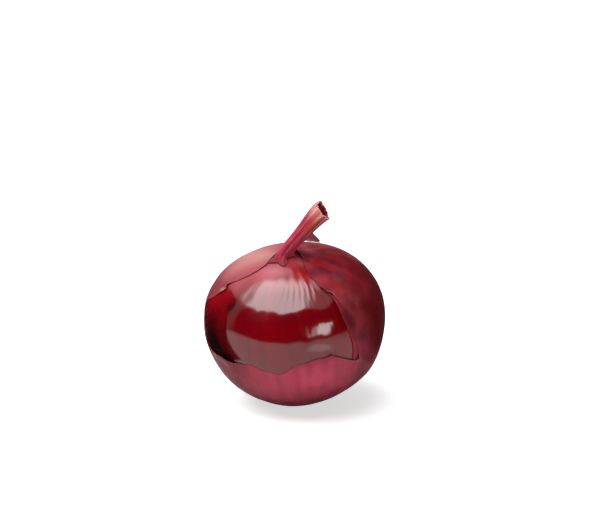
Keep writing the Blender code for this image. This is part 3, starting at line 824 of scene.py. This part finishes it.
def makeRootPlate(finish):
    # A disc closed above and below, thinner at its rim, its top pitted by a product of sines right and back
    share = np.linspace(0, 1, roots["plateRings"] + 1)[1:]
    turn = np.linspace(0.0, 2 * np.pi, roots["plateColumns"], endpoint=False)
    share, turn = np.meshgrid(share, turn, indexing="ij")
    lobes, lobeHeight = roots["plateLobes"]
    reach = roots["plateRadius"] * share * (1.0 + lobeHeight * np.sin(lobes * turn) * share)
    right, back = reach * np.cos(turn), reach * np.sin(turn)
    rough = roots["plateRough"] * np.sin(2600 * right + 3 * np.sin(1900 * back)) * np.sin(2900 * back + 1.0)
    thick = roots["plateThickness"] * (1.0 - 0.5 * share ** 4) + rough * (1.0 - share ** 6)
    under, zero = -roots["plateSink"], np.zeros(1)
    outer, inner = rootPlace(right, back, under + thick), rootPlace(right, back, under + 0 * reach)
    tips = [rootPlace(zero, zero, under + zero + height) for height in (roots["plateThickness"], 0.0)]
    rows, columns = share.shape
    half = rows * columns
    rim = (rows - 1) * columns + np.arange(columns)
    after = np.roll(rim, -1)
    over = gridFaces(rows, columns, True)
    faces = [over, over[:, ::-1] + half, fanFaces(np.arange(columns), 2 * half)[:, ::-1],
             fanFaces(half + np.arange(columns), 2 * half + 1),
             np.stack([rim, after, half + after, half + rim], axis=-1)[:, ::-1]]
    points = np.vstack([outer.reshape(-1, 3), inner.reshape(-1, 3), *tips])
    addPiece("rootPlate", points, faces, {}, finish, ["root_tuft"])


def makeRoots(finish):
    # Tapered threads, each a ring of points carried along its own line: all are combed back by a power of
    # the way along, drift evenly, curl by a sine and rise off the plate
    rng = np.random.default_rng(roots["seed"])
    count, rings, sides = roots["count"], roots["rings"], roots["sides"]

    def drawn(least, greatest):
        return rng.uniform(least, greatest, (count, 1))

    index = np.arange(count)[:, None]
    steps = np.linspace(0, 1, rings)
    far = roots["spread"] * roots["plateRadius"] * np.sqrt((index + 0.5) / count)
    turn = index * np.radians(roots["turn"])
    longest, *shares = roots["length"]
    length = longest * drawn(*shares)
    drift = drawn(-roots["drift"], roots["drift"])
    curl = drawn(-roots["curl"], roots["curl"])
    right = far * np.cos(turn) + drift * steps + curl * np.sin(steps * 5.0)
    back = far * np.sin(turn) + length * steps ** 1.2
    start = roots["plateThickness"] - roots["plateSink"] - roots["sink"]
    line = rootPlace(right, back, start + (roots["sink"] + drawn(*roots["rise"])) * steps ** 0.7)
    thickest, *shares = roots["radius"]
    line[..., 2] = np.maximum(line[..., 2], roots["clearance"] + thickest)
    along = unit(np.gradient(line, axis=1))
    side = unit(np.cross(along, [0.31, 0.17, 0.94]))  # square to the root, from a way that no root takes
    other = np.cross(along, side)
    spin = np.linspace(0.0, 2 * np.pi, sides, endpoint=False)[:, None]
    radius = thickest * drawn(*shares) * (1.0 - 0.7 * steps)
    circle = side[:, :, None] * np.cos(spin) + other[:, :, None] * np.sin(spin)
    body = line[:, :, None] + circle * radius[..., None, None]
    one = gridFaces(rings, sides, True)
    caps = np.stack([np.arange(sides)[::-1], (rings - 1) * sides + np.arange(sides)])
    faces = []
    for first in range(0, count * rings * sides, rings * sides):
        faces += [one + first, caps + first]
    addPiece("rootThreads", body, faces, {}, finish)


def rootMaterial():
    # Cork and dried root: dull and brown purple, rough all over
    made, tree, shader = newMaterial("dried root", IOR=1.45, Roughness=0.85)
    grit = noise(tree, placeOf(tree), 900.0, 4.0)  # 1.1 mm
    look = layered(tree, colour("#5b3029"), [(ramp(tree, grit, (0.35, 0.65)), "#a1806a")])
    dress(tree, shader, look, grit, 0.2 * mm)
    return made


# Studio: floor, light and camera

studio = {
    "floor": (-2.2, 2.2, -0.4, 2.6),  # x from, to, y from, to, in metres
    "floorColour": "#d6d6d6",
    "floorLift": (0.6, 1.0),  # what the eye sees added near the onion and far from it
    "liftFrom": (0.3, 1.2),  # metres from the onion
    # The panel overhead: its place in metres from the onion's centre, the radiance in front, at the right
    # end and at the back on the left, the x over which the front dims and the back does, and the slanted
    # line between the two: x of its corner, slope, and the y over which it is soft
    "ceiling": {"height": 0.6, "x": (-0.69, 0.45), "y": (-0.43, 0.69), "front": 6.0, "right": 0.7,
                "back": 1.1, "frontDims": (0.04, 0.2), "backDims": (-0.12, 0.03), "corner": -0.25,
                "slope": 0.7, "soft": (0.22, 0.44)},
    # The two smaller panels: size, distance, azimuth, elevation, radiance and roll
    "windows": {"window": ((0.22, 0.26), 0.8, 37.0, 12.0, 6.6, -10.0),
                "shade": ((0.13, 0.23), 0.8, 23.5, 11.5, 2.8, -10.0)},
    # A soft bright patch just over the floor that only reflections see: place, half sizes and radiance
    "glow": ((0.072, -0.127, 0.5 * mm), (0.045, 0.06, 1.0), 2.2),
    "glowFade": ((0.4, 1.0), (0.8, 0.0)),  # share of the way out, and the opacity there
    # The surroundings, + is right and back: behind on the left they are pale
    "backdrop": 0.9,
    "frontDark": 0.012,
    "rightShare": 0.12,  # of the backdrop's light behind on the right
    "backFrom": (-0.1, 0.35),
    "rightFrom": (-0.1, 0.06),
    # Dark cards beside the onion: x, y where they start at the floor and at the top, y to, and height
    "cards": {"cardLeft": (-0.055, -0.03, -0.012, 0.3, 0.075),
              "cardRight": (0.052, -0.022, -0.014, 0.3, 0.11)},
    "cardColour": "#1a0608",
}


def addSheet(name, corners, finish):
    # A flat sheet of the studio
    mesh = bpy.data.meshes.new(name)
    mesh.from_pydata(corners, [], [(0, 1, 2, 3)])
    mesh.materials.append(finish)
    return addObject(name, mesh)


def reachOf(tree):
    # Distance from the object's own centre
    return put(tree, "VectorMath", {0: placeOf(tree)}, operation="LENGTH").outputs["Value"]


def makeFloor():
    # Pale matt paper, lifted to white for the eye alone
    made, tree, shader = newMaterial("pale paper", Roughness=0.9, Base_Color=colour(studio["floorColour"]))
    tree.links.new(put(tree, "LightPath").outputs["Is Camera Ray"], shader.inputs["Emission Color"])
    lift = ramp(tree, reachOf(tree), studio["liftFrom"], studio["floorLift"], "SMOOTHSTEP")
    tree.links.new(lift, shader.inputs["Emission Strength"])
    west, east, south, north = studio["floor"]
    floor = addSheet("floor", [(west, south, 0), (east, south, 0), (east, north, 0), (west, north, 0)], made)


def makeCard(name, x, near, nearTop, far, height):
    # A dark matt card that only reflections see
    made, _, _ = newMaterial("black card", Roughness=0.9, Base_Color=colour(studio["cardColour"]))
    card = addSheet(name, [(x, near, 0), (x, far, 0), (x, far, height), (x, nearTop, height)], made)
    card.visible_camera = card.visible_diffuse = card.visible_shadow = False


def litMaterial(name, **sockets):
    # Gives white light and reflects none
    return newMaterial(name, Roughness=1.0, Base_Color=colour("#000000"), Emission_Color=colour("#ffffff"),
                       **sockets)


def makeGlow():
    # A patch bright in the middle and fading out to its sides
    place, halfSizes, radiance = studio["glow"]
    made, tree, shader = litMaterial("lit floor patch", Emission_Strength=radiance)
    tree.links.new(ramp(tree, reachOf(tree), *studio["glowFade"], "SMOOTHSTEP"), shader.inputs["Alpha"])
    glow = addSheet("glow", [(-1, -1, 0), (1, -1, 0), (1, 1, 0), (-1, 1, 0)], made)
    glow.location, glow.scale = place, halfSizes
    glow.visible_camera = glow.visible_diffuse = glow.visible_shadow = False


def makeLight(name, size, distance, azimuth, elevation, radiance, roll):
    # A flat panel turned to the onion, azimuth 0 on the viewer's side and + to the right, then rolled
    light = bpy.data.lights.new(name, "AREA")
    light.shape = "RECTANGLE"
    light.size, light.size_y = size
    light.energy = radiance * np.pi * size[0] * size[1]
    turn, rise = np.radians([azimuth, elevation])
    way = Vector((np.sin(turn) * np.cos(rise), -np.cos(turn) * np.cos(rise), np.sin(rise)))
    panel = addObject(name, light)
    panel.location = Vector(onion["centre"]) + way * distance
    panel.rotation_euler = (way.to_track_quat("Z", "Y") @ Quaternion((0, 0, 1), np.radians(roll))).to_euler()


def makeCeiling():
    # A large panel overhead, its radiance falling to the right, and behind a slanted line on either side
    place = studio["ceiling"]
    made, tree, shader = litMaterial("lit panel")
    way = put(tree, "SeparateXYZ", {0: placeOf(tree)}).outputs
    left = ramp(tree, way["X"], place["backDims"], (place["back"], 0.0), "SMOOTHSTEP")
    front = ramp(tree, way["X"], place["frontDims"], (place["front"], place["right"]), "SMOOTHSTEP")
    side = maths(tree, "ABSOLUTE", maths(tree, "SUBTRACT", way["X"], place["corner"]))
    slant = maths(tree, "MULTIPLY_ADD", side, place["slope"], way["Y"])
    level = blend(tree, ramp(tree, slant, place["soft"], curve="SMOOTHSTEP"), front, left)
    tree.links.new(level, shader.inputs["Emission Strength"])
    (west, east), (south, north) = place["x"], place["y"]
    corners = [(west, south, 0), (west, north, 0), (east, north, 0), (east, south, 0)]
    panel = addSheet("ceiling", corners, made)
    panel.location = Vector(onion["centre"]) + Vector((0, 0, place["height"]))
    panel.visible_camera = False


def makeWorld():
    # Pale behind the onion on the left and dark elsewhere, the camera itself sees white
    world = bpy.data.worlds.new("studio")
    world.use_nodes = True
    tree = world.node_tree
    way = put(tree, "SeparateXYZ", {0: placeOf(tree, "Generated")}).outputs
    back = ramp(tree, way["Y"], studio["backFrom"])
    left = ramp(tree, way["X"], studio["rightFrom"], (1.0, studio["rightShare"]))
    pale = (studio["frontDark"], studio["backdrop"])
    level = ramp(tree, maths(tree, "MULTIPLY", back, left), target=pale)
    seen = put(tree, "LightPath").outputs["Is Camera Ray"]
    background = tree.nodes["Background"]
    tree.links.new(blend(tree, seen, level, 1.0), background.inputs["Strength"])
    background.inputs["Color"].default_value = colour("#ffffff")
    bpy.context.scene.world = world


camera = {
    "elevation": 18.0,
    "distance": 0.8,
    "lens": 115.83,  # mm on a 36 mm sensor, so that 600 pixels are 248.6 mm wide at the onion
    "aimRight": 2.2 * mm,  # the aim lies right of the onion's centre
    "aimUp": 24.33 * mm,  # and above it, across the view
}


def makeCamera():
    rise = np.radians(camera["elevation"])
    toward = Vector((0.0, -np.cos(rise), np.sin(rise)))
    up = Vector((0.0, np.sin(rise), np.cos(rise)))
    data = bpy.data.cameras.new("camera")
    data.lens = camera["lens"]
    made = addObject("camera", data)
    made.location = Vector(onion["centre"]) + toward * camera["distance"]
    aim = Vector(onion["centre"]) + Vector((1, 0, 0)) * camera["aimRight"] + up * camera["aimUp"]
    made.rotation_euler = (aim - made.location).to_track_quat("-Z", "Y").to_euler()
    bpy.context.scene.camera = made


makeCamera()
makeFloor()
makeWorld()
makeCeiling()
for cardName, cardPlace in studio["cards"].items():
    makeCard(cardName, *cardPlace)
makeGlow()
for lightName, lightPlace in studio["windows"].items():
    makeLight(lightName, *lightPlace)
bpy.context.scene.view_settings.view_transform = "Standard"
print("studio ready")
makeInnerSkin(livingSkin())
dried = paperySkin()
makeDrySkin(dried)
makeSecondSkin(dried)
makeNeck(sheathMaterial("dried leaf sheath", neck["shades"]), sheathMaterial("sheath lining", neck["lining"]))
for scrapName, scrapPlace in scraps.items():
    makeScrap(scrapName, *scrapPlace, dried)
corky = rootMaterial()
makeRootPlate(corky)
makeRoots(corky)
print("onion ready")
